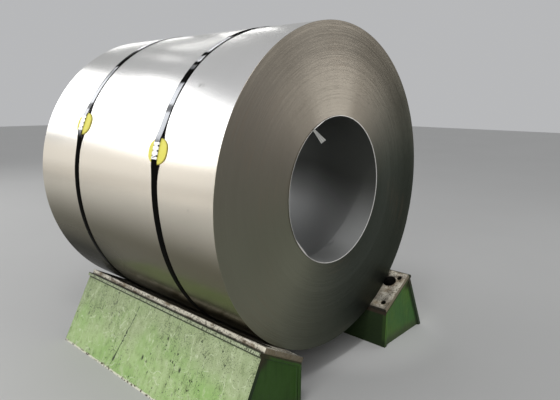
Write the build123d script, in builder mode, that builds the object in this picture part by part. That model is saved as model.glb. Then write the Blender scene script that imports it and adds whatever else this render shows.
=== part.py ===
from build123d import *
from math import acos, cos, degrees, radians, sin, tan
import os

# Strapped steel coil lying on a pair of sloped chocks, all sizes in millimetres.
# Frame: +Z up, Y along the coil's axis with the near end towards -Y, floor at Z = 0.
# The origin is on the floor, in the middle of the whole object.

# Coil
coil_diameter = 1345
coil_width = 1250
bore_diameter = 610
coil_floor_gap = 130
# The innermost lap stands proud of the near end, and the others lie in groups a little out of
# line: how far each group is pushed to -Y, from the bore outwards
rim_lap_thickness = 6
rim_lap_push = 3.0
lap_group_pushes = (0.6, 1.6, 0)

# Chocks
chock_length = 1200
chock_end_reach = 86
saddle_slope = 30
plate_width = 240
plate_thickness = 20
plate_below_contact = 36
top_plate_thickness = 15
top_plate_ledge = 20
top_plate_overhang = 12
inner_wall_setback = 11
outer_wall_lean = 27
wall_thickness = 18
end_plate_recess = 10
weld_leg = 6
bolt_hole_diameter = 18
bolt_hole_depth = 14
bolt_hole_from_end = 32
bolt_hole_from_edge = 36
hand_hole_diameter = 55
hand_hole_depth = 60
hand_hole_from_end = 70
hand_hole_from_edge = 70

# Straps, their seals and the pads under the seals
strap_width = 32
strap_thickness = 1.0
strap_gap = 0.3
strap_tail = 44
front_strap_distance = 322
front_seal_turn = 15.8
rear_strap_distance = 900
rear_seal_turn = 22.6
pad_length = 100
pad_width = 108
pad_thickness = 5
pad_side_length = 50
pad_tip_width = 44
pad_gap = 0.5
seal_length = 62
seal_thickness = 1.0
seal_play = 0.3
notch_spacing = 19
notch_count = 3
notch_width = 7
notch_depth = 3.5

# Paper tab taped over the bore's rim
tab_thickness = 0.6
tab_root_radius = 309
tab_root_width = 26
tab_tip_width = 38
tab_length = 92
tab_turn = 123.6
tab_lean = 32
tab_crease = 4

os.makedirs("parts", exist_ok=True)

coil_radius = coil_diameter / 2
bore_radius = bore_diameter / 2
axis_height = coil_radius + coil_floor_gap
overall_length = chock_end_reach + coil_width
coil_near_y = chock_end_reach - overall_length / 2
chock_near_y = coil_near_y - chock_end_reach
chock_middle_y = chock_near_y + chock_length / 2
coil_axis = Axis((0, 0, axis_height), (0, 1, 0))
rim_lap_radius = bore_radius + rim_lap_thickness
lap_group_height = (coil_radius - rim_lap_radius) / len(lap_group_pushes)

# Coil: one turned solid, whose lap groups make low steps on both ends
with BuildPart() as coil:
    with BuildSketch(Plane(origin=(0, 0, axis_height), x_dir=(0, 1, 0), z_dir=(1, 0, 0))):
        with Locations((coil_near_y - rim_lap_push, bore_radius)):
            Rectangle(coil_width, rim_lap_thickness, align=(Align.MIN, Align.MIN))
        for group, push in enumerate(lap_group_pushes):
            with Locations((coil_near_y - push, rim_lap_radius + group * lap_group_height)):
                Rectangle(coil_width, lap_group_height, align=(Align.MIN, Align.MIN))
    revolve(axis=coil_axis)
coil.part.label = "coil"
export_step(coil.part, "parts/coil.step")


# Saddle geometry of the +X chock: reach runs up the slope from the line where the coil rests,
# depth goes square down into the plate. The straps pass between the coil and the wear plates.
slope = radians(saddle_slope)
contact_radius = coil_radius + strap_thickness + 2 * strap_gap
contact_x = contact_radius * sin(slope)
contact_z = axis_height - contact_radius * cos(slope)
saddle_plane = Plane(
    origin=(contact_x, chock_middle_y, contact_z),
    x_dir=(cos(slope), 0, sin(slope)),
    z_dir=(-sin(slope), 0, cos(slope)),
)


def saddle_point(reach, depth):
    """X and Z of a point on the chock's section."""
    x = contact_x + reach * cos(slope) + depth * sin(slope)
    z = contact_z + reach * sin(slope) - depth * cos(slope)
    return x, z


def reach_at(x, depth):
    """How far up the slope the given X lies, at a depth under the plate's top."""
    return (x - contact_x - depth * sin(slope)) / cos(slope)


plate_outer_reach = plate_width - plate_below_contact
plate_middle_reach = plate_outer_reach - plate_width / 2
plate_inner_x = saddle_point(-plate_below_contact, 0)[0]
inner_wall_x = plate_inner_x + inner_wall_setback
bolt_spacing_y = chock_length - 2 * bolt_hole_from_end
bolt_spacing_x = plate_width - 2 * bolt_hole_from_edge
hand_hole_spacing = chock_length - 2 * hand_hole_from_end
hand_hole_reach = plate_outer_reach - hand_hole_from_edge

# Wear plate: the flat liner on which the coil lies, bolted down at its four corners
with BuildPart() as wear_plate_right:
    with BuildSketch(saddle_plane):
        with Locations((plate_middle_reach, 0)):
            Rectangle(plate_width, chock_length)
            with GridLocations(bolt_spacing_x, bolt_spacing_y, 2, 2):
                Circle(bolt_hole_diameter / 2, mode=Mode.SUBTRACT)
        with Locations((hand_hole_reach, 0)):
            with GridLocations(0, hand_hole_spacing, 1, 2):
                Circle(hand_hole_diameter / 2, mode=Mode.SUBTRACT)
    extrude(amount=-plate_thickness)
wear_plate_right.part.label = "wear_plate_right"
export_step(wear_plate_right.part, "parts/wear_plate_right.step")

with BuildPart() as wear_plate_left:
    mirror(wear_plate_right.part, about=Plane.YZ)
wear_plate_left.part.label = "wear_plate_left"
export_step(wear_plate_left.part, "parts/wear_plate_left.step")

# Chock section: a welded block with an upright inner wall, an outer wall that leans out to the
# floor, and a sloped top plate whose ledge stands out past the wear plate
underside = plate_thickness + top_plate_thickness
inner_top_reach = reach_at(inner_wall_x, plate_thickness)
ledge_reach = plate_outer_reach + top_plate_ledge
wall_top_x, wall_top_z = saddle_point(ledge_reach - top_plate_overhang, underside)
wall_run = tan(radians(outer_wall_lean))
wall_foot_x = wall_top_x + wall_top_z * wall_run
chock_outline = [
    saddle_point(inner_top_reach, plate_thickness),
    saddle_point(ledge_reach, plate_thickness),
    saddle_point(ledge_reach, underside),
    (wall_top_x, wall_top_z),
    (wall_foot_x, 0),
    (inner_wall_x, 0),
]

# The end plates stand back from the ends, between the walls
recess_inner_x = inner_wall_x + wall_thickness
recess_inner_top = saddle_point(reach_at(recess_inner_x, underside), underside)
wall_breadth = wall_thickness / cos(radians(outer_wall_lean))
recess_outer_x = wall_top_x - wall_breadth / (1 + wall_run * tan(slope))
recess_outer_top = saddle_point(reach_at(recess_outer_x, underside), underside)
recess_outline = [
    (recess_inner_x, 0),
    recess_inner_top,
    recess_outer_top,
    (wall_foot_x - wall_breadth, 0),
]

with BuildPart() as chock_right:
    with BuildSketch(Plane.XZ.offset(-chock_near_y)):
        with BuildLine():
            Polyline(chock_outline, close=True)
        make_face()
    extrude(amount=-chock_length)
    with BuildSketch(
        Plane.XZ.offset(-chock_near_y),
        Plane.XZ.offset(-chock_near_y - chock_length + end_plate_recess),
    ):
        with BuildLine():
            Polyline(recess_outline, close=True)
        make_face()
    extrude(amount=-end_plate_recess, mode=Mode.SUBTRACT)
    end_plates = chock_right.faces().filter_by(Axis.Y).filter_by(
        lambda face: abs(abs(face.center().Y - chock_middle_y) - chock_length / 2) > 1
    )
    weld_edges = end_plates.edges().filter_by(lambda edge: edge.center().Z > weld_leg)
    chamfer(weld_edges, length=weld_leg)
    with BuildSketch(saddle_plane.offset(-plate_thickness)):
        with Locations((plate_middle_reach, 0)):
            with GridLocations(bolt_spacing_x, bolt_spacing_y, 2, 2):
                Circle(bolt_hole_diameter / 2)
    extrude(amount=-bolt_hole_depth, mode=Mode.SUBTRACT)
    with BuildSketch(saddle_plane.offset(-plate_thickness)):
        with Locations((hand_hole_reach, 0)):
            with GridLocations(0, hand_hole_spacing, 1, 2):
                Circle(hand_hole_diameter / 2)
    extrude(amount=-hand_hole_depth, mode=Mode.SUBTRACT)
chock_right.part.label = "chock_right"
export_step(chock_right.part, "parts/chock_right.step")

with BuildPart() as chock_left:
    mirror(chock_right.part, about=Plane.YZ)
chock_left.part.label = "chock_left"
export_step(chock_left.part, "parts/chock_left.step")


def shell_plane(turn, y):
    """Plane through the coil's axis: local X along the coil, local Y out to the shell.
    turn is the angle up from -X, in degrees."""
    angle = radians(turn)
    return Plane(
        origin=(0, y, axis_height),
        x_dir=(0, 1, 0),
        z_dir=(sin(angle), 0, cos(angle)),
    )


def outward_plane(turn, y, radius):
    """Plane that lies on the shell: local X along the coil, local Z out of it."""
    angle = radians(turn)
    return Plane(
        origin=(-radius * cos(angle), y, axis_height + radius * sin(angle)),
        x_dir=(0, 1, 0),
        z_dir=(-cos(angle), 0, sin(angle)),
    )


def loop_plane(turn, y):
    """Plane square to the coil's axis: local X out through the seal."""
    angle = radians(turn)
    return Plane(
        origin=(0, y, axis_height),
        x_dir=(-cos(angle), 0, sin(angle)),
        z_dir=(0, -1, 0),
    )


def ring_point(radius, turn):
    angle = radians(turn)
    return radius * cos(angle), radius * sin(angle)


# Levels outwards from the shell, where a strap passes over its pad and through its seal
pad_bottom = coil_radius + pad_gap
pad_top = pad_bottom + pad_thickness
seal_bottom = pad_top + strap_gap
strap_bottom = seal_bottom + seal_thickness + seal_play
strap_top = strap_bottom + 2 * strap_thickness
seal_top = strap_top + seal_play + seal_thickness
hold_turn = degrees(pad_length / 2 / coil_radius)
tail_turn = degrees(strap_tail / coil_radius)
seal_turn = degrees(seal_length / coil_radius)
notch_turn = degrees(notch_spacing / coil_radius)
seal_width = strap_width + 2 * (seal_play + seal_thickness)

for place, distance, turn in (
    ("front", front_strap_distance, front_seal_turn),
    ("rear", rear_strap_distance, rear_seal_turn),
):
    strap_y = coil_near_y + distance

    # Pad: a flat octagon, cut from a wider band that is bent to the shell
    with BuildPart() as pad:
        with BuildSketch(shell_plane(turn - 2 * hold_turn, strap_y)):
            with Locations((0, pad_bottom)):
                Rectangle(2 * pad_width, pad_thickness, align=(Align.CENTER, Align.MIN))
        revolve(axis=coil_axis, revolution_arc=4 * hold_turn)
        with BuildSketch(outward_plane(turn, strap_y, coil_radius - pad_thickness)):
            with BuildLine():
                half_tip = pad_tip_width / 2
                half_side = pad_side_length / 2
                corner_points = [
                    (half_tip, pad_length / 2),
                    (pad_width / 2, half_side),
                    (pad_width / 2, -half_side),
                    (half_tip, -pad_length / 2),
                ]
                Polyline(
                    *corner_points,
                    *[(-x, y) for x, y in reversed(corner_points)],
                    close=True,
                )
            make_face()
        extrude(amount=4 * pad_thickness, mode=Mode.INTERSECT)
    pad.part.label = "pad_" + place
    export_step(pad.part, "parts/pad_" + place + ".step")

    # Strap: a flat band round the coil that rises straight to its seal, with a lapped tail
    with BuildPart() as strap:
        with BuildSketch(loop_plane(turn, strap_y - strap_width / 2)):
            for thickness, mode in ((strap_thickness, Mode.ADD), (0, Mode.SUBTRACT)):
                round_radius = coil_radius + strap_gap + thickness
                held_radius = strap_bottom + thickness
                leave_turn = hold_turn + degrees(acos(round_radius / held_radius))
                held_start = ring_point(held_radius, -hold_turn)
                held_end = ring_point(held_radius, hold_turn)
                round_start = ring_point(round_radius, leave_turn)
                round_end = ring_point(round_radius, -leave_turn)
                with BuildLine():
                    ThreePointArc(held_start, (held_radius, 0), held_end)
                    Line(held_end, round_start)
                    ThreePointArc(round_start, (-round_radius, 0), round_end)
                    Line(round_end, held_start)
                make_face(mode=mode)
        extrude(amount=-strap_width)
        with BuildSketch(shell_plane(turn - tail_turn, strap_y)):
            with Locations((0, strap_bottom + strap_thickness / 2)):
                Rectangle(strap_width, strap_thickness * 3 / 2, align=(Align.CENTER, Align.MIN))
        revolve(axis=coil_axis, revolution_arc=2 * tail_turn)
    strap.part.label = "strap_" + place
    export_step(strap.part, "parts/strap_" + place + ".step")

    # Seal: a folded sleeve round both layers of the strap, notched along both edges
    with BuildPart() as seal:
        with BuildSketch(shell_plane(turn - seal_turn / 2, strap_y)):
            with Locations((0, seal_bottom)):
                Rectangle(seal_width, seal_top - seal_bottom, align=(Align.CENTER, Align.MIN))
            with Locations((0, seal_bottom + seal_thickness)):
                Rectangle(
                    strap_width + 2 * seal_play,
                    seal_top - seal_bottom - 2 * seal_thickness,
                    align=(Align.CENTER, Align.MIN),
                    mode=Mode.SUBTRACT,
                )
        revolve(axis=coil_axis, revolution_arc=seal_turn)
        notch_steps = [index - (notch_count - 1) / 2 for index in range(notch_count)]
        for side in (-1, 1):
            for step in notch_steps:
                notch_place = outward_plane(turn + step * notch_turn, strap_y, seal_bottom)
                with BuildSketch(notch_place.offset(-seal_thickness)):
                    with Locations((side * seal_width / 2, 0)):
                        Rectangle(2 * notch_depth, notch_width)
                extrude(amount=seal_top - seal_bottom + 2 * seal_thickness, mode=Mode.SUBTRACT)
    seal.part.label = "seal_" + place
    export_step(seal.part, "parts/seal_" + place + ".step")

# Tab: a creased slip of paper, stuck to the rim and hanging over the bore in front of the end
tab_near_y = coil_near_y - rim_lap_push - strap_gap
tab_root_x, tab_root_z = ring_point(tab_root_radius, tab_turn)
tab_plane = Plane(
    origin=(tab_root_x, tab_near_y, axis_height + tab_root_z),
    x_dir=(cos(radians(tab_lean)), 0, -sin(radians(tab_lean))),
    z_dir=(0, -1, 0),
)
with BuildPart() as tape_tab:
    with BuildSketch(tab_plane):
        with BuildLine():
            Polyline(
                (-tab_crease, -tab_root_width / 2),
                (tab_length, -tab_tip_width / 2),
                (tab_length - tab_crease, tab_tip_width / 2),
                (0, tab_root_width / 2),
                close=True,
            )
        make_face()
    extrude(amount=tab_thickness)
tape_tab.part.label = "tape_tab"
export_step(tape_tab.part, "parts/tape_tab.step")
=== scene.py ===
import random
from math import acos, atan2, cos, degrees, hypot, pi, radians, sin, sqrt, tan

import bpy
from mathutils import Euler, Matrix, Vector


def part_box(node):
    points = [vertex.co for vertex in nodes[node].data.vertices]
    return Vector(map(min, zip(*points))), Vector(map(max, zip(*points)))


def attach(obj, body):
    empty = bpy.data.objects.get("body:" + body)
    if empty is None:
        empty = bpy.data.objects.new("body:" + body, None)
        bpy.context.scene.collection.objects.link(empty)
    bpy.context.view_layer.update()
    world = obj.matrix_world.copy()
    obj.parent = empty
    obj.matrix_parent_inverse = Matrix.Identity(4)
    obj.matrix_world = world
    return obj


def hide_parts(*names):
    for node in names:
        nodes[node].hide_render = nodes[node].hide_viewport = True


# Looks of a strapped steel coil on two sloped chocks, in metres.
# Y runs along the coil's axis with the near end towards -Y. A turn is an angle round that axis,
# up from -X, in degrees.
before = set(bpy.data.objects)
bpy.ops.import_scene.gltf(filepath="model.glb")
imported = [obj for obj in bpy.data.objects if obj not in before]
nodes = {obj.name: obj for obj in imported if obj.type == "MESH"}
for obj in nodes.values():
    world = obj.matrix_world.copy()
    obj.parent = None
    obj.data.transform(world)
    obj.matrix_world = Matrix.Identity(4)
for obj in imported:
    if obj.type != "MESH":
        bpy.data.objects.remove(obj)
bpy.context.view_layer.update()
scene = bpy.context.scene
mm = 0.001

# Coil
coil_low, coil_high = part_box("coil")
coil_radius = (coil_high.x - coil_low.x) / 2
axis_height = (coil_high.z + coil_low.z) / 2
bore_radius = 305 * mm
rim_push = 3 * mm
near_y = coil_low.y + rim_push
far_y = coil_high.y - 0.3 * mm
rim_lap = 3 * mm
rim_gap = 0.5 * mm
rim_gap_depth = 9 * mm
rim_break = 1.4 * mm
lap_count = 88
lap_gap = 0.3 * mm
lap_bulge = 1.6 * mm
lap_jitter = 0.05 * mm
lap_tilt = 0.02 * mm
lap_ripple = 0.02 * mm
edge_break = 0.8 * mm
shell_depth = 2.4 * mm
coil_steps = 192
tail_turn = 200
tail_drop = 1.4 * mm
tail_step_turn = 0.05
# Turns at which each flat stretch of the innermost lap begins and ends
rim_flats = ((56.4, 71.1), (-52.6, -31.8))
kink_depth = 90 * mm

# Straps, seals and pads
strap_width = 32 * mm
strap_thickness = 1 * mm
strap_gap = 0.3 * mm
strap_slack = 0.1 * mm
strap_edge = 0.25 * mm
strap_points = 288
strap_tail = 44 * mm
strap_margin = 2.5 * mm
pad_length = 100 * mm
pad_width = 108 * mm
pad_thickness = 5 * mm
pad_gap = 0.5 * mm
pad_corner_run = 32 * mm
pad_corner_rise = 25 * mm
pad_bluntness = 8
pad_flat = 0.76
pad_lip = 0.35
pad_cuts = 28
seal_length = 62 * mm
seal_wall = 1 * mm
seal_sheet = 0.8 * mm
seal_edge = 0.2 * mm
seal_play = 0.3 * mm
seal_bluntness = 5
seal_points = 48
seal_steps = 44
notch_spacing = 19 * mm
notch_width = 6 * mm
notch_depth = 5 * mm
slit_from_end = 8 * mm
slit_half_width = 1.4 * mm
slit_slant = 0.3

# Paper tab
tab_root_radius = 309 * mm
tab_lean = radians(40)
tab_root_width = 11 * mm
tab_spread = 19 * mm
tab_length = 77 * mm
tab_slant = 16 * mm
tab_thickness = 0.4 * mm

# Chocks
slope = radians(30)
wall_lean = radians(27)
chock_low, chock_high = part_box("chock_right")
chock_middle = (chock_low.y + chock_high.y) / 2
chock_half = (chock_high.y - chock_low.y) / 2
contact_radius = coil_radius + strap_thickness + 2 * strap_gap
contact_x = contact_radius * sin(slope)
contact_z = axis_height - contact_radius * cos(slope)
liner_thickness = 20 * mm
underside = 35 * mm
wall_top_reach = 212 * mm
wall_thickness = 18 * mm
# Holes in the saddle: how far up the slope, how far from the end, radius, and how much wider worn
holes = (
    (134 * mm, 70 * mm, 27.5 * mm, 1.18),
    (0, 32 * mm, 9 * mm, 1.35),
    (168 * mm, 32 * mm, 9 * mm, 1.35),
)
rusty_corner = (0.525, chock_half, 0.285)
edge_wear = 2 * mm
end_recess = 10 * mm
bead_radius = 5 * mm
bead_foot = 4 * mm
bead_step = 2.5 * mm
bead_ripple = 1.1 * mm


# Modelling, as by hand
def clear():
    """Leave edit mode and drop the selection."""
    if bpy.context.mode != "OBJECT":
        bpy.ops.object.mode_set(mode="OBJECT")
    bpy.ops.object.select_all(action="DESELECT")


def begin(name):
    """Name the primitive that was just added and put its place into its mesh."""
    piece = bpy.context.active_object
    piece.name = name
    piece.data.name = name
    bpy.ops.object.transform_apply(location=True, rotation=True, scale=True)
    return piece


def take(piece):
    """Leave edit mode with one piece alone selected and active."""
    clear()
    piece.select_set(True)
    bpy.context.view_layer.objects.active = piece


def pick(piece, kind, chosen):
    """Go into edit mode with the chosen vertices, edges or polygons selected."""
    take(piece)
    kinds = ("vertices", "edges", "polygons")
    bpy.context.tool_settings.mesh_select_mode = [kind == each for each in kinds]
    for each in kinds:
        items = getattr(piece.data, each)
        items.foreach_set("select", [False] * len(items))
    for item in getattr(piece.data, kind):
        item.select = bool(chosen(item))
    bpy.ops.object.mode_set(mode="EDIT")


def pick_all(piece):
    """Go into edit mode with the whole piece selected."""
    pick(piece, "vertices", lambda vertex: True)


def leave():
    """Leave edit mode."""
    bpy.ops.object.mode_set(mode="OBJECT")


def merge(piece, distance=0.02 * mm):
    """Close seams and turn all faces outwards."""
    pick_all(piece)
    bpy.ops.mesh.remove_doubles(threshold=distance)
    bpy.ops.mesh.normals_make_consistent(inside=False)
    leave()


def spin(piece, steps, angle):
    """Turn a section round the coil's axis."""
    pick_all(piece)
    bpy.ops.mesh.spin(steps=steps, angle=angle, center=(0, 0, axis_height), axis=(0, 1, 0))
    leave()


def apply(piece, kind, **settings):
    """Add one modifier and apply it."""
    modifier = piece.modifiers.new(kind.title(), kind)
    for name, value in settings.items():
        setattr(modifier, name, value)
    take(piece)
    bpy.ops.object.modifier_apply(modifier=modifier.name)


def bevel(piece, width, segments, angle=30):
    """Wear round the edges that turn by more than an angle in degrees."""
    limit = {"limit_method": "ANGLE", "angle_limit": radians(angle)}
    apply(piece, "BEVEL", width=width, segments=segments, **limit)


def smooth(piece, angle=35):
    """Shade smooth, but for edges that turn by more than an angle in degrees."""
    take(piece)
    bpy.ops.object.shade_smooth_by_angle(angle=radians(angle))


def dress(piece, slot, *materials):
    """Give a piece its finishes and its body; the slot it is given is not used."""
    piece.data.materials.clear()
    for material in materials:
        piece.data.materials.append(material)
    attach(piece, "root")
    return piece


def on_turn(radius, turn, y):
    """The point at a radius and a turn round the coil's axis."""
    angle = radians(turn)
    return Vector((-radius * cos(angle), y, axis_height + radius * sin(angle)))


def turn_of(point):
    """A point's turn, between -180 and 180 degrees."""
    return degrees(atan2(point.z - axis_height, -point.x))


def off_turn(turn, other):
    """From one turn to another, between -180 and 180 degrees."""
    return (turn - other + 180) % 360 - 180


def radius_of(point):
    """How far a point lies from the coil's axis."""
    return hypot(point.x, point.z - axis_height)


def set_radius(vertex, radius):
    """Move a vertex straight out from the coil's axis, or in to it."""
    vertex.co = on_turn(radius, turn_of(vertex.co), vertex.co.y)


def is_along(piece, edge, way):
    """Whether an edge runs the given way."""
    first, second = (piece.data.vertices[index].co for index in edge.vertices)
    return abs((second - first).normalized().dot(way)) > 0.99


def mirrored(piece, name):
    """A copy on the other side of the YZ plane, with its faces turned outwards again."""
    copy = piece.copy()
    copy.data = piece.data.copy()
    copy.name = name
    copy.data.name = name
    scene.collection.objects.link(copy)
    copy.data.transform(Matrix.Scale(-1, 4, (1, 0, 0)))
    copy.data.flip_normals()
    return copy


# Coil
def rim_points(end_y, inward):
    """The innermost lap's edge and the gap behind it, as radius and Y, at one end."""
    edge_y = end_y - rim_push
    return [
        (bore_radius, edge_y + inward * rim_break),
        (bore_radius + rim_break, edge_y),
        (bore_radius + rim_lap, edge_y),
        (bore_radius + rim_lap + rim_gap / 2, end_y + inward * rim_gap_depth),
    ]


def lap_edges():
    """Both ends' points across the laps, as radius and Y, from the bore out to the shell."""
    draw = random.Random(4)
    near = rim_points(near_y, 1)
    far = rim_points(far_y, -1)
    first = bore_radius + rim_lap + rim_gap
    pitch = (coil_radius - first) / lap_count
    for lap in range(lap_count):
        inner = first + lap * pitch
        outer = inner + pitch - lap_gap
        push = lap_bulge * sin(pi * (lap + 0.5) / lap_count) ** 2 + draw.uniform(0, lap_jitter)
        if lap == lap_count - 1:
            outer = coil_radius - edge_break
        for points, end_y in ((near, near_y), (far, far_y)):
            tilt = draw.uniform(-lap_tilt, lap_tilt)
            points.append((inner, end_y - push - tilt))
            points.append((outer, end_y - push + tilt))
    near.append((coil_radius, near_y + edge_break))
    far.append((coil_radius, far_y - 2 * edge_break))
    return near, far


def flatten_rim(piece):
    """Press the innermost lap's edge straight where it is kinked."""
    for vertex in piece.data.vertices:
        radius = radius_of(vertex.co)
        inside = near_y < vertex.co.y < far_y - 2 * rim_push
        if inside or radius > bore_radius + rim_lap / 2:
            continue
        turn = turn_of(vertex.co)
        for start, end in rim_flats:
            if start < turn < end:
                half = radians((end - start) / 2)
                off_middle = radians(turn - (start + end) / 2)
                set_radius(vertex, radius * cos(half) / cos(off_middle))


def step_down_tail(piece):
    """Let the outer lap spiral in by its thickness and end in a low step across the shell."""
    step = 360 / coil_steps
    for vertex in piece.data.vertices:
        radius = radius_of(vertex.co)
        past = (turn_of(vertex.co) - tail_turn) % 360
        if past > 360 - 0.01:
            past = 0
        if radius > coil_radius - 2 * edge_break:
            radius -= tail_drop * past / 360
        turn = tail_turn + past
        if past > 360 - 1.5 * step:
            turn = tail_turn + 360 - tail_step_turn
        vertex.co = on_turn(radius, turn, vertex.co.y)


def ripple_ends(piece):
    """Let the laps' edges wander a little along Y, each over part of its turn."""
    for vertex in piece.data.vertices:
        radius = radius_of(vertex.co)
        if bore_radius + 2 * rim_lap < radius < coil_radius - 2 * edge_break:
            angle = radians(turn_of(vertex.co))
            wave = sin(radius * 410 + 3 * angle) * sin(radius * 97 - 2 * angle)
            vertex.co.y += lap_ripple * wave


def strip_part(face):
    """Which of the coil's finishes a face takes: 0 shell, 1 lap edges, 2 rim, 3 bore."""
    radius = radius_of(face.center)
    across = abs(face.normal.y)
    if radius > coil_radius - shell_depth and across < 0.6:
        return 0
    if radius > bore_radius + rim_lap:
        return 1
    if across > 0.5 or radius > bore_radius + rim_lap / 2:
        return 2
    return 3


def make_coil():
    """The wound strip: its section turned once round, with a kinked rim and a stepped tail."""
    near, far = lap_edges()
    section = near + far[::-1]
    section += [(bore_radius, far_y - kink_depth), (bore_radius, near_y + kink_depth)]
    bpy.ops.mesh.primitive_circle_add(vertices=len(section), radius=coil_radius)
    coil = begin("strip_coil")
    for vertex, (radius, y) in zip(coil.data.vertices, section):
        vertex.co = on_turn(radius, tail_turn, y)
    spin(coil, coil_steps, 2 * pi)
    merge(coil)
    flatten_rim(coil)
    step_down_tail(coil)
    ripple_ends(coil)
    dress(coil, "strip_steel", shell_finish(), end_finish(), rim_finish(), bore_finish())
    for face in coil.data.polygons:
        face.material_index = strip_part(face)
    smooth(coil, 24)
    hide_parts("coil")


# Straps, seals and pads
pad_bottom = coil_radius + pad_gap
pad_top = pad_bottom + pad_thickness
seal_bottom = pad_top + strap_gap
held_radius = seal_bottom + seal_wall + seal_play
round_radius = coil_radius + strap_gap
hold_turn = degrees(pad_length / 2 / coil_radius)
leave_turn = hold_turn + degrees(acos(round_radius / held_radius))


def strap_radius(off_seal):
    """Underside of the strap, at an angle from its seal."""
    off = abs(off_seal)
    if off < hold_turn:
        return held_radius
    if off < leave_turn:
        climb = (leave_turn - off) / (leave_turn - hold_turn)
        return round_radius + (held_radius - round_radius) * climb ** 3
    return round_radius


def drift_at(drift, turn):
    """How far the strap wanders along Y at a turn, eased between the given turns."""
    for (turn_a, off_a), (turn_b, off_b) in zip(drift, drift[1:]):
        if turn_a <= turn <= turn_b:
            share = (turn - turn_a) / (turn_b - turn_a)
            return off_a + (off_b - off_a) * (1 - cos(pi * share)) / 2
    return 0


def make_strap(place, y, seal_turn, drift, *finishes):
    """A flat band round the shell, raised over its pad and lapped in its seal."""
    bpy.ops.mesh.primitive_circle_add(
        vertices=strap_points, radius=coil_radius, location=(0, 0, axis_height),
        rotation=(pi / 2, 0, 0)
    )
    strap = begin("strap_band_" + place)
    for vertex in strap.data.vertices:
        turn = turn_of(vertex.co)
        radius = strap_radius(off_turn(turn, seal_turn))
        vertex.co = on_turn(radius, turn, y + drift_at(drift, turn) - strap_width / 2)
    pick_all(strap)
    bpy.ops.mesh.extrude_region_move(TRANSFORM_OT_translate={"value": (0, strap_width, 0)})
    leave()
    mark_margin(strap, y, drift)
    dress(strap, "strap_steel", *finishes)
    for face in strap.data.polygons:
        middle = y + drift_at(drift, turn_of(face.center))
        face.material_index = int(face.center.y < middle - strap_width / 2 + strap_margin)
    add_lapped_end(strap, seal_turn)
    merge(strap)
    apply(strap, "SOLIDIFY", thickness=strap_thickness - strap_slack, offset=0)
    for vertex in strap.data.vertices:
        set_radius(vertex, radius_of(vertex.co) + (strap_thickness - strap_slack) / 2)
    bevel(strap, strap_edge, 2)
    smooth(strap)
    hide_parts("strap_" + place)


def mark_margin(strap, y, drift):
    """Split off the strap's margin towards -Y, kept plain black without the painted glints, as
    painted shade along the strap's edge.
    """
    pick(strap, "edges", lambda edge: is_along(strap, edge, Vector((0, 1, 0))))
    bpy.ops.mesh.subdivide(number_cuts=1)
    leave()
    for vertex in strap.data.vertices:
        middle = y + drift_at(drift, turn_of(vertex.co))
        if abs(vertex.co.y - middle) < strap_width / 4:
            vertex.co.y = middle - strap_width / 2 + strap_margin


def add_lapped_end(strap, seal_turn):
    """The strap's two ends lie on each other in the seal: copy that stretch as the upper layer."""
    reach = degrees(strap_tail / coil_radius)
    pick(strap, "polygons", lambda face: abs(off_turn(turn_of(face.center), seal_turn)) < reach)
    bpy.ops.mesh.duplicate_move()
    leave()
    for vertex in strap.data.vertices:
        if vertex.select:
            set_radius(vertex, radius_of(vertex.co) + strap_thickness + strap_slack)


def seal_outline(share):
    """Seal's section: Y and height at a share of the way round, a rectangle with rounded sides."""
    half_width = strap_width / 2 + seal_play + seal_wall
    half_height = strap_thickness + strap_slack / 2 + seal_play + seal_wall
    across = cos(2 * pi * share)
    up = sin(2 * pi * share)
    reach = (abs(across) ** seal_bluntness + abs(up) ** seal_bluntness) ** (-1 / seal_bluntness)
    return half_width * reach * across, half_height * reach * up


def make_seal(place, y, turn, finish):
    """A folded sheet sleeve along the strap, with its notches and its slit cut out."""
    half_turn = degrees(seal_length / 2 / coil_radius)
    middle = held_radius + strap_thickness
    bpy.ops.mesh.primitive_circle_add(vertices=seal_points, radius=strap_width / 2)
    seal = begin("seal_sleeve_" + place)
    for index, vertex in enumerate(seal.data.vertices):
        across, up = seal_outline(index / seal_points)
        vertex.co = on_turn(middle + up, turn + half_turn, y + across)
    spin(seal, seal_steps, radians(2 * half_turn))
    pick(seal, "polygons", lambda face: is_cut(face.center, y, turn))
    bpy.ops.mesh.delete(type="FACE")
    leave()
    apply(seal, "SOLIDIFY", thickness=seal_sheet, offset=-1)
    merge(seal, 0.005 * mm)
    bevel(seal, seal_edge, 1, 50)
    smooth(seal, 45)
    dress(seal, "seal_steel", finish)
    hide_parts("seal_" + place)


def is_cut(point, y, turn):
    """Whether a point lies in one of the seal's three pairs of notches or in its slit."""
    along = radians(turn_of(point) - turn) * held_radius
    across = point.y - y
    beside = abs(across) > strap_width / 2 - notch_depth
    notched = min(abs(along - each * notch_spacing) for each in (-1, 0, 1)) < notch_width / 2
    on_top = radius_of(point) > held_radius + strap_thickness
    past_slit = along + seal_length / 2 - slit_from_end + slit_slant * across
    slit = on_top and abs(past_slit) < slit_half_width and across < strap_width / 3
    return (notched and beside) or slit


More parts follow.
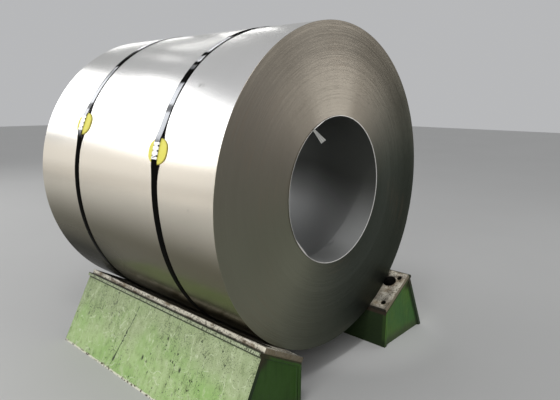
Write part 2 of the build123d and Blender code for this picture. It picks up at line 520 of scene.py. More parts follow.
def make_pad(place, y, turn, finish):
    """An oblong pad with a rolled rim, bent to the shell."""
    bpy.ops.mesh.primitive_grid_add(x_subdivisions=pad_cuts, y_subdivisions=pad_cuts, size=2)
    pad = begin("seal_pad_" + place)
    for vertex in pad.data.vertices:
        out = max(abs(vertex.co.x), abs(vertex.co.y)) ** 0.7
        angle = atan2(vertex.co.y, vertex.co.x)
        reach = out * pad_reach(angle)
        vertex.co = (reach * cos(angle), reach * sin(angle), 0)
    pick_all(pad)
    bpy.ops.mesh.extrude_region_move(TRANSFORM_OT_translate={"value": (0, 0, pad_thickness)})
    leave()
    for vertex in pad.data.vertices:
        across, along, height = vertex.co
        share = hypot(across, along) / pad_reach(atan2(along, across))
        fall = min(max((share - pad_flat) / (1 - pad_flat), 0), 1)
        height *= pad_lip + (1 - pad_lip) * sqrt(1 - fall ** 2)
        vertex.co = on_turn(pad_bottom + height, turn + degrees(along / coil_radius), y + across)
    merge(pad)
    smooth(pad, 50)
    dress(pad, "pad_plastic", finish)
    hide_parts("pad_" + place)


def pad_reach(angle):
    """From a pad's middle to its outline, an oblong whose corners are cut off and rounded."""
    across = abs(cos(angle))
    along = abs(sin(angle))
    corner = pad_corner_rise * pad_width / 2
    corner += pad_corner_run * (pad_length / 2 - pad_corner_rise)
    sides = (
        2 * across / pad_width,
        2 * along / pad_length,
        (across * pad_corner_rise + along * pad_corner_run) / corner,
    )
    return sum(side ** pad_bluntness for side in sides) ** (-1 / pad_bluntness)


# Paper tab
def make_tab(finish):
    """A slip of tape stuck to the rim and folded into a small fan."""
    root = on_turn(tab_root_radius, rim_flats[0][0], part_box("tape_tab")[1].y)
    along_way = Vector((cos(tab_lean), 0, -sin(tab_lean)))
    across_way = Vector((sin(tab_lean), 0, cos(tab_lean)))
    bpy.ops.mesh.primitive_grid_add(x_subdivisions=14, y_subdivisions=12, size=1)
    tab = begin("tape_fan")
    for vertex in tab.data.vertices:
        along = vertex.co.x + 0.5
        across = vertex.co.y
        width = tab_root_width + tab_spread * along ** 1.2
        length = tab_length + tab_slant * across
        fold = abs((across * 5 + 10.25) % 2 - 1)
        lift = (0.5 + 3.2 * fold * min(along * 2.5, 1) + 3 * along ** 2) * mm
        flat = along_way * along * length + across_way * across * width
        vertex.co = root + flat - Vector((0, lift, 0))
    merge(tab)
    apply(tab, "SOLIDIFY", thickness=tab_thickness, offset=0)
    smooth(tab, 25)
    dress(tab, "tab_paper", finish)
    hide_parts("tape_tab")


# Chocks
def saddle(reach, depth):
    """X and Z on the right chock's section, up the slope and square into it from the contact."""
    x = contact_x + reach * cos(slope) + depth * sin(slope)
    z = contact_z + reach * sin(slope) - depth * cos(slope)
    return x, z


def copy_of_node(node, name):
    """A merged copy of a CAD node, with its flat faces joined up again and its holes worn wide."""
    piece = bpy.data.objects.new(name, nodes[node].data.copy())
    piece.data.name = name
    scene.collection.objects.link(piece)
    merge(piece, 0.01 * mm)
    pick_all(piece)
    bpy.ops.mesh.dissolve_limited(angle_limit=radians(2))
    leave()
    for hole in holes:
        widen(piece, *hole)
    return piece


def widen(piece, reach, from_end, radius, wear):
    """Push a hole's wall outwards, square to the hole's own axis."""
    middle_x, middle_z = saddle(reach, 0)
    for vertex in piece.data.vertices:
        x, y, z = vertex.co
        side = 1 if x > 0 else -1
        end = 1 if y > chock_middle else -1
        up_slope = (abs(x) - middle_x) * cos(slope) + (z - middle_z) * sin(slope)
        along = y - chock_middle - end * (chock_half - from_end)
        if hypot(up_slope, along) < radius * 1.05:
            vertex.co.x += side * up_slope * (wear - 1) * cos(slope)
            vertex.co.y += along * (wear - 1)
            vertex.co.z += up_slope * (wear - 1) * sin(slope)


def make_worn(node, name, slot, segments, finish):
    """Put a copy of a CAD node in its place, its edges worn round."""
    piece = copy_of_node(node, name)
    bevel(piece, edge_wear, segments, 40)
    smooth(piece)
    dress(piece, slot, finish)
    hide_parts(node)


def make_bead(name, start, end, finish):
    """A weld bead: a bar cut into short lengths and rippled."""
    run = end - start
    bpy.ops.mesh.primitive_cylinder_add(
        vertices=8, radius=bead_radius, depth=run.length, location=(start + end) / 2,
        rotation=run.to_track_quat("Z", "X").to_euler()
    )
    bead = begin(name)
    way = run.normalized()
    pick(bead, "edges", lambda edge: is_along(bead, edge, way))
    bpy.ops.mesh.subdivide(number_cuts=int(run.length / bead_step))
    leave()
    draw = random.Random(len(name))
    for vertex in bead.data.vertices:
        along = (vertex.co - start).dot(way)
        line = start + way * along
        ripple = 1 + 0.16 * sin(along / bead_ripple) + draw.uniform(-0.05, 0.05)
        vertex.co = line + (vertex.co - line) * ripple
    smooth(bead, 60)
    return dress(bead, "chock_paint", finish)


def plate_height(x):
    """Underside of the sloped top plate of the right chock."""
    return contact_z + (x - contact_x) * tan(slope) - underside / cos(slope)


def make_welds(finish):
    """Beads where each end plate meets the chock's walls and its top plate."""
    inner_x = chock_low.x + wall_thickness
    wall_breadth = wall_thickness / cos(wall_lean)
    outer_x = chock_high.x - wall_breadth
    wall_top_x = saddle(wall_top_reach, underside)[0]
    outer_top_x = wall_top_x - wall_breadth / (1 + tan(wall_lean) * tan(slope))
    for end, y in (("near", chock_low.y + end_recess), ("far", chock_high.y - end_recess)):
        inner_foot = Vector((inner_x, y, bead_foot))
        inner_top = Vector((inner_x, y, plate_height(inner_x)))
        outer_foot = Vector((outer_x, y, bead_foot))
        outer_top = Vector((outer_top_x, y, plate_height(outer_top_x)))
        for place, start, stop in (
            ("inner", inner_foot, inner_top),
            ("outer", outer_foot, outer_top),
            ("upper", inner_top, outer_top),
        ):
            name = "bead_" + place + "_" + end
            bead = make_bead(name + "_right", start, stop, finish)
            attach(mirrored(bead, name + "_left"), "root")


# Materials
class Signal:
    """One output of a node, with the arithmetic that the finishes use."""

    def __init__(self, paint, socket):
        self.paint = paint
        self.socket = socket

    def math(self, operation, first, second=0):
        return self.paint.node("Math", {0: first, 1: second}, operation=operation)

    def __add__(self, other):
        return self.math("ADD", self, other)

    __radd__ = __add__

    def __sub__(self, other):
        return self.math("SUBTRACT", self, other)

    def __rsub__(self, other):
        return self.math("SUBTRACT", other, self)

    def __mul__(self, other):
        return self.math("MULTIPLY", self, other)

    __rmul__ = __mul__

    def __abs__(self):
        return self.math("ABSOLUTE", self)

    def sign(self):
        return self.math("SIGN", self)

    def most(self, other):
        return self.math("MAXIMUM", self, other)

    def rise(self, low, high):
        """0 below low, 1 above high, eased between. A low above high turns it round."""
        values = {"Value": self, "From Min": low, "From Max": high}
        if low > high:
            values.update({"From Min": high, "From Max": low, "To Min": 1, "To Max": 0})
        return self.paint.node("MapRange", values, interpolation_type="SMOOTHSTEP")


class Paint:
    """A material and its nodes. Patterns read the piece's own object coordinates."""

    def __init__(self, name, **constants):
        self.material = bpy.data.materials.new(name)
        self.material.use_nodes = True
        self.tree = self.material.node_tree
        self.shader = self.tree.nodes["Principled BSDF"]
        self.place = self.node("TexCoord", {}, "Object")
        for socket, value in constants.items():
            self.set(socket.replace("_", " "), value)

    def node(self, kind, values, output=0, **settings):
        """Add a node with its inputs' values and its settings, and give one of its outputs."""
        made = self.tree.nodes.new("ShaderNode" + kind)
        for name, value in settings.items():
            setattr(made, name, value)
        for key, value in values.items():
            self.join(value, made.inputs[key])
        return Signal(self, made.outputs[output])

    def join(self, value, socket):
        if isinstance(value, Signal):
            self.tree.links.new(value.socket, socket)
        else:
            socket.default_value = value

    def set(self, socket, value):
        self.join(value, self.shader.inputs[socket])

    def finish(self, colour, roughness, normal=None):
        """Set what a finish varies, and give the material."""
        self.set("Base Color", colour)
        self.set("Roughness", roughness)
        if normal:
            self.set("Normal", normal)
        return self.material

    def vector(self, operation, first, second=(0, 0, 0), output=0):
        return self.node("VectorMath", {0: first, 1: second}, output, operation=operation)

    def scaled(self, vector, factor):
        return self.node("VectorMath", {0: vector, "Scale": factor}, operation="SCALE")

    def stretch(self, x, y, z):
        return self.vector("MULTIPLY", self.place, (x, y, z))

    def axis(self, index, vector=None):
        """One of X, Y and Z of a vector, or of the place."""
        return self.node("SeparateXYZ", {0: vector or self.place}, index)

    def axes(self, vector=None):
        return [self.axis(index, vector) for index in range(3)]

    def facing(self):
        """Which way the surface faces."""
        return self.node("NewGeometry", {}, "Normal")

    def noise(self, scale, detail, vector=None, rough=0.55):
        """Clouds over the place, or over a vector. Three scales stretch the place first."""
        if isinstance(scale, tuple):
            vector = self.stretch(*scale)
            scale = 1
        values = {"Scale": scale, "Detail": detail, "Roughness": rough}
        return self.node("TexNoise", {"Vector": vector or self.place, **values})

    def cells(self, vector, scale):
        return self.node("TexVoronoi", {"Vector": vector, "Scale": scale})

    def mix(self, share, first, second):
        """Blend two colours, each a signal or plain red, green and blue."""
        ends = [end if isinstance(end, Signal) else (*end, 1) for end in (first, second)]
        return self.node("Mix", {0: share, 6: ends[0], 7: ends[1]}, 2, data_type="RGBA")

    def coats(self, base, *layers):
        """Lay colours over a base in turn: each layer is a share, then red, green and blue."""
        for share, *colour in layers:
            base = self.mix(share, base, colour)
        return base

    def spot(self, centre, sizes, soft=0.5, place=None):
        """1 inside an ellipsoid with that centre and those half sizes, fading over its edge."""
        away = self.vector("SUBTRACT", place or self.place, centre)
        share = self.vector("DIVIDE", away, sizes)
        distance = self.vector("LENGTH", share, output=1)
        return distance.rise(1 + soft, 1 - soft)

    def bump(self, height, distance, strength=1, normal=None):
        values = {"Height": height, "Distance": distance, "Strength": strength}
        if normal:
            values["Normal"] = normal
        return self.node("Bump", values)


def shell_finish():
    """Cold-rolled strip seen on its face: bright, with grain round it, a painted warm reflection
    low down and painted shade along its foot.
    """
    paint = Paint("strip_shell", IOR=1.04, Specular_Tint=(0.80, 0.80, 0.78, 1))
    grain = paint.noise((3, 420, 3), 4)
    bands = paint.noise((0.4, 26, 0.4), 2)
    cloud = paint.noise(2.4, 3)
    level = paint.axis(2) - axis_height
    # Painted shade: the shell darkens towards its foot, for the dark reflections under it
    painted_shade_low = (level + 0.03 * (cloud - 0.5)).rise(0.02, -0.21)
    # Painted shade: low down towards the far end the shell turns dark, dull and not metallic
    painted_dark_pool = paint.axis(1).rise(-0.14, 0.40) * level.rise(-0.12, -0.36)
    base = paint.coats(
        paint.mix(bands, (0.93, 0.92, 0.91), (0.97, 0.96, 0.95)),
        # Painted reflection: a warmer tint below the crown
        (level.rise(0.30, 0.12), 0.82, 0.765, 0.665),
        (painted_shade_low, 0.215, 0.197, 0.145),
        (painted_dark_pool, 0.034, 0.033, 0.026),
    )
    for turn, from_end, sizes in (
        (24, 0.42, (0.02, 0.035, 0.012)),
        (-12, 0.14, (0.02, 0.02, 0.01)),
        (0, 0.12, (0.015, 0.012, 0.006)),
        (38, 0.22, (0.012, 0.016, 0.01)),
    ):
        mark = paint.spot(on_turn(coil_radius, turn, near_y + from_end), sizes)
        mark = mark * paint.noise(90, 3).rise(0.45, 0.6)
        base = paint.coats(base, (mark * 0.35, 0.25, 0.24, 0.22))
    paint.set("Metallic", 1 - painted_dark_pool)
    slow = paint.bump(paint.noise(1.6, 1), 4 * mm)
    normal = paint.bump(grain, 0.06 * mm, 0.6, slow)
    return paint.finish(base, 0.17 + 0.06 * cloud + 0.05 * grain, normal)


def rings(paint):
    """Distance from the coil's axis and the direction away from it."""
    away = paint.vector("SUBTRACT", paint.place, (0, 0, axis_height))
    away = paint.vector("MULTIPLY", away, (1, 0, 1))
    radius = paint.vector("LENGTH", away, output=1)
    return radius, paint.vector("NORMALIZE", away)


def end_finish():
    """Slit edges of the laps: dull, finely ringed, each edge tilted a little its own way, with a
    painted highlight, painted shade and a painted reflected tint.
    """
    paint = Paint("strip_edges", Metallic=1, Specular_Tint=(0.4, 0.4, 0.38, 1))
    radius, outwards = rings(paint)
    level = paint.node("CombineXYZ", {1: radius})

    def ring(scale, wander):
        place = paint.vector("ADD", paint.scaled(level, scale), paint.scaled(outwards, wander))
        return paint.noise(1, 2, place)

    fine = ring(6000, 7)
    medium = ring(170, 2.5)
    broad = ring(22, 1.2)
    cloud = paint.noise(3.2, 3)
    across = paint.axis(0, outwards)
    up = paint.axis(2, outwards)
    # Painted highlight: a lighter fan above the bore, strongest near it
    painted_fan_highlight = (up - 0.12 * across).rise(0.90, 1.0)
    painted_fan_highlight = painted_fan_highlight * (0.35 + 0.24 * radius.rise(0.56, 0.32))
    base = paint.coats(
        paint.mix(broad, (0.298, 0.275, 0.228), (0.322, 0.298, 0.250)),
        (medium.rise(0.35, 0.8) * 0.10, 0.38, 0.35, 0.29),
        (fine.rise(0.60, 0.75) * 0.08, 0.12, 0.11, 0.09),
        (painted_fan_highlight, 0.50, 0.47, 0.40),
    )
    # Painted reflection: warmer towards the top and greener towards the bottom
    green = paint.mix(up.rise(0.6, -0.4), (1.02, 0.98, 0.965), (0.975, 1.065, 0.95))
    # Painted shade: darker towards the lower right, on the left side and on the upper right
    painted_shade = (0.77 * up - across + 0.3 * (cloud - 0.5)).rise(0.62, -1.13)
    painted_left_shade = (0 - across).rise(0.60, 1.0) * 0.33
    painted_upper_right_shade = radius.rise(0.42, 0.62) * across.rise(-0.1, 0.3)
    painted_upper_right_shade = painted_upper_right_shade * up.rise(0.3, 0.6) * 0.25
    rust = cloud.rise(0.52, 0.75) * medium.rise(0.4, 0.7)
    base = paint.coats(
        paint.vector("MULTIPLY", base, green),
        (painted_shade, 0.085, 0.095, 0.081),
        (painted_left_shade.most(painted_upper_right_shade), 0.030, 0.032, 0.024),
        (rust * 0.2, 0.27, 0.19, 0.13),
    )
    tilt = (fine - 0.42) * 1.2 + (medium - 0.5) * 0.015
    leaning = paint.vector("ADD", paint.facing(), paint.scaled(outwards, tilt))
    return paint.finish(base, 0.36 + 0.04 * medium, paint.vector("NORMALIZE", leaning))


def rim_finish():
    """Innermost lap's edge and back: rubbed bright."""
    paint = Paint("strip_rim", Metallic=1)
    rub = paint.noise(60, 3)
    base = paint.mix(rub, (0.84, 0.82, 0.78), (0.97, 0.95, 0.91))
    normal = paint.bump(paint.noise(240, 3), 0.2 * mm, 0.5)
    return paint.finish(base, 0.34 + 0.12 * rub, normal)


def bore_finish():
    """Strip's face inside the bore: grained, painted lighter deeper in as painted light, with
    painted shade along its top and in a patch low near its end.
    """
    paint = Paint("strip_bore", Metallic=0.55)
    grain = paint.noise((4, 240, 4), 4)
    cloud = paint.noise(5, 3)
    # Painted light: lighter deeper into the bore
    deep = paint.axis(1).rise(near_y + 0.12, near_y + 0.40)
    # Painted shade: darker along the top of the bore
    painted_shade = (paint.axis(2) - 0.06 * deep).rise(axis_height - 0.30, axis_height + 0.02)
    # Painted shade: a dark patch low in the bore near its end
    painted_bore_shade = (0.03, near_y + 0.07, axis_height - bore_radius)
    painted_bore_shade = paint.spot(painted_bore_shade, (0.09, 0.085, 0.06), 0.8) * 0.38
    base = paint.coats(
        paint.mix(cloud, (0.40, 0.405, 0.40), (0.48, 0.485, 0.48)),
        (deep, 0.91, 0.92, 0.92),
        (painted_shade, 0.075, 0.078, 0.070),
        (painted_bore_shade, 0.075, 0.078, 0.070),
    )
    roughness = 0.34 + 0.10 * cloud + 0.06 * grain
    return paint.finish(base, roughness, paint.bump(grain, 0.1 * mm, 0.6))


def lacquered(name):
    """Strapping's paint, its clouds and flecks, and its black that is hardly browner in places."""
    paint = Paint(name, IOR=1.02)
    cloud = paint.noise(9, 3)
    black = paint.mix(cloud, (0.0025, 0.0025, 0.0025), (0.006, 0.006, 0.005))
    return paint, cloud, paint.noise(160, 3), black


def strap_finish():
    """Black lacquered strapping, plain, for the margin kept black as painted shade along the
    strap's edge.
    """
    paint, cloud, fleck, black = lacquered("strap_black")
    base = paint.coats(black, (fleck.rise(0.66, 0.74) * 0.35, 0.07, 0.068, 0.06))
    return paint.finish(base, 0.16 + 0.12 * cloud, paint.bump(fleck, 0.08 * mm, 0.5))


def glinting_strap_finish():
    """The same strapping, with bright bare steel painted in stretches between its seal and the
    crown where its reflections fall: painted glints.
    """
    paint, cloud, fleck, black = lacquered("strap_glinting")
    height = paint.axis(2)
    rear = paint.axis(1).rise(-0.05, 0.05)
    # The painted glints begin and end at these heights above the floor
    edge = height + 0.02 * (fleck - 0.5)
    painted_glint = edge.rise(1.00, 1.045) * (edge - 0.08 * rear).rise(1.232, 1.222)
    painted_glint = painted_glint * (0.3 + 0.7 * abs(edge - 1.136).rise(0.006, 0.018))
    patch = abs(edge - 1.319).rise(0.013, 0.009)
    patch = patch.most(abs(edge - 1.287).rise(0.010, 0.005) * 0.35)
    patch = patch.most(abs(edge - 1.378).rise(0.034, 0.028))
    painted_glint = painted_glint.most(patch * (1 - rear)).most(edge.rise(1.380, 1.410) * rear)
    faced = paint.vector("DOT_PRODUCT", paint.facing(), rings(paint)[1], output=1)
    painted_glint = painted_glint * faced.rise(-0.1, 0.3)
    steel = paint.mix(fleck, (0.28, 0.29, 0.31), (0.42, 0.43, 0.45))
    # Painted highlight: the glinting steel is paler still higher up
    steel = paint.coats(steel, (height.rise(1.28, 1.31), 0.93, 0.93, 0.95))
    base = paint.mix(painted_glint, black, steel)
    paint.set("Metallic", painted_glint)
    dull = 0.18 * painted_glint * height.rise(1.2, 1.05)
    dull = dull.most(0.35 * height.rise(1.40, 1.43))
    return paint.finish(base, 0.15 + 0.10 * cloud + dull, paint.bump(fleck, 0.08 * mm, 0.5))


def seal_finish():
    """Zinc-coated sheet, its gloss broken by spangle."""
    paint = Paint("seal_zinc", Metallic=1)
    spangle = paint.cells(paint.place, 240)
    fleck = paint.noise(120, 3)
    base = paint.mix(fleck, (0.72, 0.72, 0.72), (0.92, 0.92, 0.92))
    return paint.finish(base, 0.26 + 0.18 * spangle, paint.bump(fleck, 0.15 * mm, 0.5))


def pad_finish():
    """Yellow plastic, browner round its rolled rim as painted shade."""
    paint = Paint("pad_yellow", IOR=1.40)
    cloud = paint.noise(26, 3)
    grain = paint.noise(420, 3)
    sheet = paint.axes(paint.node("TexCoord", {}, "UV"))
    out = abs(sheet[0] - 0.5).most(abs(sheet[1] - 0.5)) * 2
    base = paint.coats(
        paint.mix(cloud, (0.78, 0.72, 0.09), (0.86, 0.80, 0.17)),
        (cloud.rise(0.6, 0.8) * 0.3, 0.66, 0.60, 0.26),
        # Painted shade: darker round the rolled rim
        ((out + 0.1 * (cloud - 0.5)).rise(0.93, 1.02), 0.52, 0.45, 0.08),
    )
    return paint.finish(base, 0.45 + 0.12 * grain, paint.bump(grain, 0.1 * mm, 0.5))


def tab_finish():
    """Grey paper with its fibre."""
    paint = Paint("tab_paper")
    fibre = paint.noise(300, 4)
    cloud = paint.noise(40, 2)
    base = paint.mix(cloud, (0.36, 0.36, 0.335), (0.50, 0.50, 0.47))
    return paint.finish(base, 0.6 + 0.2 * fibre, paint.bump(fibre, 0.2 * mm, 0.5))


def saddle_place(paint):
    """How far up the slope a point lies, and how far under the liner's upper face."""
    run = abs(paint.axis(0)) - contact_x
    climb = paint.axis(2) - contact_z
    return run * cos(slope) + climb * sin(slope), run * sin(slope) - climb * cos(slope)


def wall_depth(paint):
    """How far inside the leaning outer wall's face a point lies."""
    return chock_high.x - paint.axis(2) * tan(wall_lean) - abs(paint.axis(0))


def folded(paint):
    """Place with both sides and both ends laid on each other, from the chocks' middle."""
    x, y, height = paint.axes()
    return paint.node("CombineXYZ", {0: abs(x), 1: abs(y - chock_middle), 2: height})


def in_holes(paint, depth):
    """1 inside the holes of the saddle, at a depth under the liner's upper face."""
    inside = None
    for reach, from_end, radius, wear in holes:
        x, z = saddle(reach, depth)
        ball = (radius * wear * 1.12,) * 3
        hole = paint.spot((x, chock_half - from_end, z), ball, 0.05, folded(paint))
        inside = hole if inside is None else inside.most(hole)
    return inside


def specks(paint, high, patch):
    """A fine dark pepper, densest near the top, with a ragged larger chip here and there."""
    dense = 0.05 * high + 0.25 * (patch - 0.5)
    pepper = (paint.noise(250, 3, paint.stretch(1, 1, 0.8)) + dense).rise(0.60, 0.68)
    ragged = paint.noise(170, 3)
    size = 0.42 * paint.noise(26, 1) - 0.02
    chip = size - paint.cells(paint.stretch(1, 1, 0.8), 52) - 0.9 * (ragged - 0.5)
    return (pepper * 0.75).most(chip.rise(0, 0.08) * patch.rise(0.47, 0.56))


def scratch(paint, fine):
    """One long dark scratch down the left chock's outer wall, broken along its length."""
    x, y, height = paint.axes()
    line = abs(y - (0.126 - 0.225 * height) + 0.03 * (paint.noise(13, 3) - 0.5))
    blobs = paint.noise((0, 20, 34), 3).rise(0.50, 0.64)
    width = (line - 0.006 * blobs + 0.004 * (fine - 0.5)).rise(0.0026, 0.0010)
    broken = paint.noise((0, 12, 30), 2).rise(0.36, 0.46)
    line = width * broken * height.rise(0.275, 0.265)
    for y_at, z_at in ((-0.068, 0.108), (-0.304, 0.136), (0.118, 0.045)):
        place = (-chock_high.x + z_at * tan(wall_lean), y_at, z_at)
        line = line.most(paint.spot(place, (0.02, 0.006, 0.009)))
    return line * x.rise(-0.4, -0.45) * 0.9


def wall_paint(paint, fine, depth):
    """Dusty light green of the outer walls, greyer and more pitted towards the top."""
    height = paint.axis(2)
    cloud = paint.noise(6, 4)
    mottle = paint.noise((0, 34, 24), 5, rough=0.7)
    high = (height + 0.25 * (cloud - 0.5)).rise(0.08, 0.24)
    patch = paint.noise((0, 9, 7), 3)
    streak = paint.noise((0, 150, 22), 4)
    streak = streak.rise(0.55, 0.66) * patch.rise(0.50, 0.62)
    curl = abs(paint.noise(9, 1) - 0.5).rise(0.012, 0.003)
    wall = paint.coats(
        paint.mix(cloud.rise(0.35, 0.65), (0.32, 0.50, 0.17), (0.44, 0.58, 0.27)),
        (high * 0.65, 0.37, 0.41, 0.26),
        (mottle.rise(0.50, 0.66) * 0.55, 0.56, 0.64, 0.40),
        (mottle.rise(0.47, 0.34) * 0.5, 0.20, 0.26, 0.11),
        (streak * 0.8, 0.09, 0.11, 0.05),
        (curl * fine.rise(0.42, 0.55) * 0.7, 0.64, 0.72, 0.48),
        (specks(paint, high, patch) * 0.9, 0.045, 0.055, 0.03),
        (scratch(paint, fine), 0.03, 0.035, 0.025),
    )
    chipped = paint.mix(fine.rise(0.42, 0.50), (0.10, 0.085, 0.05), (0.74, 0.74, 0.60))
    wall = paint.mix((height + 0.014 * (fine - 0.5)).rise(0.010, 0.006), wall, chipped)
    hatch = paint.noise((0, 210, 90), 3)
    ledge = paint.coats(
        paint.mix(cloud, (0.30, 0.36, 0.20), (0.50, 0.55, 0.38)),
        (hatch.rise(0.50, 0.58) * 0.85, 0.06, 0.065, 0.04),
    )
    wall = paint.mix(depth.rise(underside + mm, underside), wall, ledge)
    ragged = depth + 0.004 * (fine - 0.5)
    # Painted shade: thin dark lines under the liner and under the ledge's overhang
    liner_shade_line = abs(ragged - liner_thickness - mm).rise(3 * mm, 1.5 * mm)
    ledge_shade_line = abs(ragged - underside - 2.5 * mm).rise(4 * mm, 2.5 * mm)
    return paint.coats(wall, (ledge_shade_line.most(liner_shade_line) * 0.9, 0.025, 0.032, 0.018))


def end_paint(paint, cloud, fine, depth):
    """Deep green of the end plates, with painted shade along their outer edges and under the liner,
    rust at one corner, grime along their foot, and the right chock's plates painted lighter as
    painted light.
    """
    run = paint.noise((70, 0, 6), 3)
    right = paint.axis(0).rise(-0.05, 0.05)
    blotch = paint.noise(8, 4).rise(0.36, 0.64)
    # Painted light: the right chock's end plates are a lit copy of the same paint, lighter and
    # greener
    lit_plate_green = paint.mix(blotch, (0.062, 0.178, 0.040), (0.104, 0.214, 0.037))
    foot = (paint.axis(2) + 0.05 * (cloud - 0.5)).rise(0.06, 0.01)
    # Painted shade: dark along the outer wall's edge
    painted_edge_shade = (wall_depth(paint) + 0.012 * (fine - 0.5)).rise(34 * mm, 21 * mm)
    plate = paint.mix(cloud, (0.024, 0.068, 0.008), (0.044, 0.110, 0.018))
    plate = paint.coats(
        paint.mix(right * 0.8, plate, lit_plate_green),
        (run.rise(0.5, 0.7) * 0.45, 0.022, 0.048, 0.010),
        (foot * 0.7, 0.050, 0.056, 0.030),
        (painted_edge_shade * 0.85, 0.016, 0.027, 0.013),
    )
    # Rust colour, used at the corner and for a line of painted shade just under the liner
    rust_and_shade = paint.mix(fine, (0.010, 0.010, 0.006), (0.060, 0.048, 0.022))
    top = abs(depth - liner_thickness - 2 * mm + 0.008 * (fine - 0.5)).rise(7 * mm, 3 * mm)
    corner = paint.spot(rusty_corner, (0.035, 0.2, 0.045), 0.4, folded(paint))
    return paint.mix(top.most(corner) * 0.8, plate, rust_and_shade)


def chock_finish():
    """Old paint: light green walls and deep green end plates, with painted shade in the end
    recesses, on the inner walls under the coil and in the holes.
    """
    paint = Paint("chock_green", IOR=1.28)
    x, y, height = paint.axes()
    facing = paint.axes(paint.facing())
    outward = facing[0] * x.sign()
    on_end = abs(facing[1]).rise(0.20, 0.45)
    from_end = chock_half - abs(y - chock_middle)
    reach, depth = saddle_place(paint)
    cloud = paint.noise(7, 4)
    fine = paint.noise(60, 4)
    on_wall = wall_depth(paint).rise(9 * mm, 5 * mm)
    top_plate = depth.rise(underside + 4 * mm, underside)
    recess = from_end.rise(end_recess + 1.5 * mm, end_recess + 0.5 * mm)
    recess = recess * (1 - on_wall.most(outward.rise(0.6, 0.8) * top_plate))
    ends = end_paint(paint, cloud, fine, depth)
    # Painted shade: darker on the recess sides
    ends = paint.coats(ends, (recess * (1 - on_end), 0.010, 0.018, 0.006))
    base = paint.mix(on_end.most(recess), wall_paint(paint, fine, depth), ends)
    # Painted shade: the inner walls under the coil near black, with a painted lighter strip near
    # the ends
    painted_lit_end = from_end.rise(0.022, 0.016) * height.rise(0.02, 0.05)
    inner = paint.coats(
        paint.mix(fine, (0.006, 0.014, 0.003), (0.018, 0.034, 0.009)),
        (painted_lit_end, 0.024, 0.050, 0.010),
        (top_plate, 0.030, 0.022, 0.013),
    )
    inside = outward.rise(-0.4, -0.7) * reach.rise(0.05, 0.03) * (1 - on_end)
    # Painted shade: the holes near black inside
    hole = in_holes(paint, 32 * mm).most(in_holes(paint, 56 * mm)).most(in_holes(paint, 80 * mm))
    base = paint.coats(paint.mix(inside, base, inner), (hole, 0.006, 0.006, 0.005))
    normal = paint.bump(0.7 * fine + 0.4 * cloud, 0.6 * mm, 0.6)
    return paint.finish(base, 0.50 + 0.22 * fine, normal)


def weld_finish():
    """Weld beads under the end plates' deep green paint."""
    paint = Paint("weld_green", IOR=1.38)
    fine = paint.noise(90, 3)
    base = paint.mix(fine, (0.016, 0.036, 0.010), (0.034, 0.078, 0.018))
    return paint.finish(base, 0.45 + 0.2 * fine, paint.bump(fine, 0.4 * mm, 0.6))


def liner_finish():
    """Worn liner: worn white towards its outer edge, brown with grime and painted shade where the
    coil lies, painted paler further under it, with painted shade on its inward faces and in its
    holes.
    """
    paint = Paint("liner_worn", IOR=1.35)
    x = paint.axis(0)
    reach, depth = saddle_place(paint)
    cloud = paint.noise(14, 4)
    drag = paint.noise((50, 14, 50), 4)
    fine = paint.noise(120, 4)
    crack = paint.noise(34, 5)
    facing = paint.axes(paint.facing())
    outward = facing[0] * x.sign()
    on_top = facing[2].rise(0.75, 0.82)
    on_end = abs(facing[1]).rise(0.35, 0.60)
    right = x.rise(-0.05, 0.05)
    left_edge = (1 - on_top) * (1 - on_end) * (1 - right)
    below = (depth + 0.006 * (fine - 0.5)).rise(0.014, 0.019) * (1 - on_top)
    under_coil = paint.axis(1).rise(near_y - 0.03, near_y + 0.03)
    # Grime and painted shade where the coil lies on the liner
    laid = under_coil * (reach + 0.03 * cloud).rise(0.212, 0.182)
    base = paint.coats(
        paint.mix(cloud.rise(0.38, 0.62), (0.25, 0.20, 0.135), (0.56, 0.52, 0.42)),
        (drag.rise(0.46, 0.60) * (0.9 - 0.4 * right), 0.80, 0.76, 0.66),
        (left_edge * cloud.rise(0.40, 0.55) * 0.7, 0.84, 0.80, 0.66),
        (fine.rise(0.57, 0.66) * 0.65, 0.08, 0.062, 0.040),
        (abs(crack - 0.5).rise(0.020, 0.008) * 0.85, 0.05, 0.04, 0.025),
        (below * 0.7, 0.05, 0.038, 0.025),
        (laid * 0.85, 0.085, 0.072, 0.048),
        # Painted light: paler further under the coil, for the shell's reflection of it
        (under_coil * reach.rise(0.15, 0.10), 0.34, 0.31, 0.25),
    )
    brown = paint.mix(fine, (0.055, 0.042, 0.022), (0.21, 0.17, 0.10))
    brown = paint.coats(brown, (right * 0.5, 0.30, 0.26, 0.18))
    base = paint.coats(
        paint.mix(on_end * 0.9, base, brown),
        # Painted shade: inward faces near black, and the holes dark inside
        (outward.rise(-0.4, -0.7) * 0.95, 0.012, 0.009, 0.005),
        (in_holes(paint, 12 * mm) * (1 - on_top), 0.010, 0.009, 0.007),
    )
    normal = paint.bump(0.6 * fine + 0.6 * drag, 0.8 * mm, 0.7)
    return paint.finish(base, 0.55 + 0.2 * fine, normal)


def floor_finish():
    """Plain, pale and dull."""
    paint = Paint("floor_pale")
    cloud = paint.noise(0.8, 3)
    base = paint.mix(cloud, (0.56, 0.56, 0.55), (0.60, 0.60, 0.59))
    return paint.finish(base, 0.8 + 0.1 * cloud)


# Stage
def make_floor():
    """A wide plain floor under the part."""
    bpy.ops.mesh.primitive_plane_add(size=40)
    floor = begin("floor")
    floor.data.materials.append(floor_finish())


def hang(lamp, place, aim):
    """Put a lamp into the scene, turned to its aim and hidden from the camera."""
    holder = bpy.data.objects.new(lamp.name, lamp)
    holder.location = place
    holder.rotation_euler = (Vector(aim) - Vector(place)).to_track_quat("-Z", "Y").to_euler()
    holder.visible_camera = False
    scene.collection.objects.link(holder)


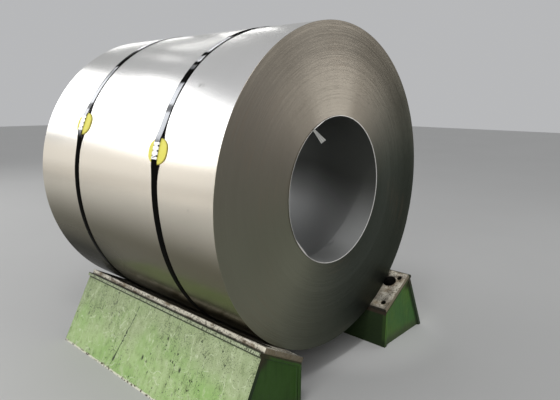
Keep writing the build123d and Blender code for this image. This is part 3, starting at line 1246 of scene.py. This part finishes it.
def area_lamp(name, place, aim, size, glow, colour=(1, 1, 1)):
    """A flat lamp with the given radiance."""
    lamp = bpy.data.lights.new(name + "_light", "AREA")
    lamp.shape = "RECTANGLE"
    lamp.size, lamp.size_y = size
    lamp.energy = glow * pi * size[0] * size[1]
    lamp.color = colour
    hang(lamp, place, aim)


def bore_lamp():
    """A narrow lamp that shines into the bore from above the near end's left side."""
    lamp = bpy.data.lights.new("bore_light", "SPOT")
    lamp.energy = 125
    lamp.spot_size = radians(12)
    lamp.spot_blend = 0.7
    lamp.shadow_soft_size = 0.02
    hang(lamp, (-1.76, -1.36, 4.27), (0.02, near_y, axis_height - 0.02))


def make_light():
    """Flat lamps above, behind and beside the coil, and a dim even light from all round."""
    area_lamp("upper", (-1.98, -1.55, 4.75), (0, -0.5, 0.8), (1.1, 1.1), 7.9)
    area_lamp("back", (-3.08, 5.38, 3.70), (-1.53, -0.42, 1.28), (5.0, 3.3), 1.8)
    area_lamp("back_right", (-0.28, 6.33, 3.21), (1.27, 0.53, 0.79), (0.9, 2.25), 1.8)
    area_lamp("left", (-4.0, -1.6, 1.3), (-0.7, 0, 0.15), (1.6, 1.2), 8.3)
    area_lamp("right", (3.6, -3.25, 1.5), (0, -0.6, 1.0), (0.7, 1.6), 3.0)
    area_lamp("low_back", (-3.6, 5.8, 0.39), (0, 5.8, 0.39), (7.2, 0.7), 0.42, (1, 0.95, 0.90))
    area_lamp("mid_back", (-3.6, 5.8, 1.42), (0, 5.8, 1.42), (7.2, 1.3), 0.50, (1, 0.96, 0.92))
    crown = Vector((-0.2, 0, 1.4))
    for name, turn, rise, size in (
        ("crown_low", 29, 30, (1.6, 0.18)),
        ("crown_mid", 13, 33, (0.5, 0.12)),
        ("crown_right", 42, 23, (1.0, 0.35)),
        ("crown_back", 28, 15, (1.6, 0.3)),
    ):
        away = Vector((sin(radians(turn)), cos(radians(turn)), tan(radians(rise))))
        area_lamp(name, away * 6 + crown, crown, size, 4.0)
    bore_lamp()
    world = bpy.data.worlds.new("even_light")
    world.use_nodes = True
    background = world.node_tree.nodes["Background"]
    background.inputs["Color"].default_value = (0.97, 0.98, 1.0, 1)
    background.inputs["Strength"].default_value = 0.49
    scene.world = world


def make_camera():
    """Look at the near end and the shell from their left, a little from above."""
    place = (-1.6817, -1.7742, 1.1712)
    yaw, pitch, roll = radians(48.08), radians(-11.37), radians(0.55)
    lens = bpy.data.cameras.new("camera")
    lens.lens = 32.15
    lens.sensor_width = 36
    camera = bpy.data.objects.new("camera", lens)
    facing = Euler((pi / 2 + pitch, 0, -yaw)).to_matrix() @ Matrix.Rotation(roll, 3, "Z")
    camera.matrix_world = Matrix.Translation(place) @ facing.to_4x4()
    scene.collection.objects.link(camera)
    bpy.context.scene.camera = camera


# Putting it together
scene.view_settings.view_transform = "Standard"
make_camera()
make_light()
make_floor()
make_coil()
strap_black = strap_finish()
strap_glinting = glinting_strap_finish()
seal_zinc = seal_finish()
pad_yellow = pad_finish()
# Where each strap wanders, as turns and distances along Y
front_drift = (
    (-60, 0), (-12, -9.5 * mm), (14, 6 * mm), (50, 16 * mm), (75, -2 * mm), (150, 0)
)
rear_drift = (
    (-60, 0), (-10, -5.5 * mm), (14, 2 * mm), (45, 8 * mm), (70, 11 * mm), (150, 0)
)
# How far each strap and its pad lie from the near end, and its seal's turn
for place, distance, pad_distance, turn, drift in (
    ("front", 0.322, 0.3245, 15.8, front_drift),
    ("rear", 0.905, 0.902, 22.6, rear_drift),
):
    make_strap(place, near_y + distance, turn, drift, strap_glinting, strap_black)
    seal_y = near_y + distance + drift_at(drift, turn)
    make_seal(place, seal_y, turn, seal_zinc)
    make_pad(place, near_y + pad_distance, turn, pad_yellow)
make_tab(tab_finish())
chock_green = chock_finish()
liner_worn = liner_finish()
for side in ("right", "left"):
    make_worn("chock_" + side, "chock_block_" + side, "chock_paint", 2, chock_green)
    make_worn("wear_plate_" + side, "wear_liner_" + side, "wear_plate", 3, liner_worn)
make_welds(weld_finish())

clear()
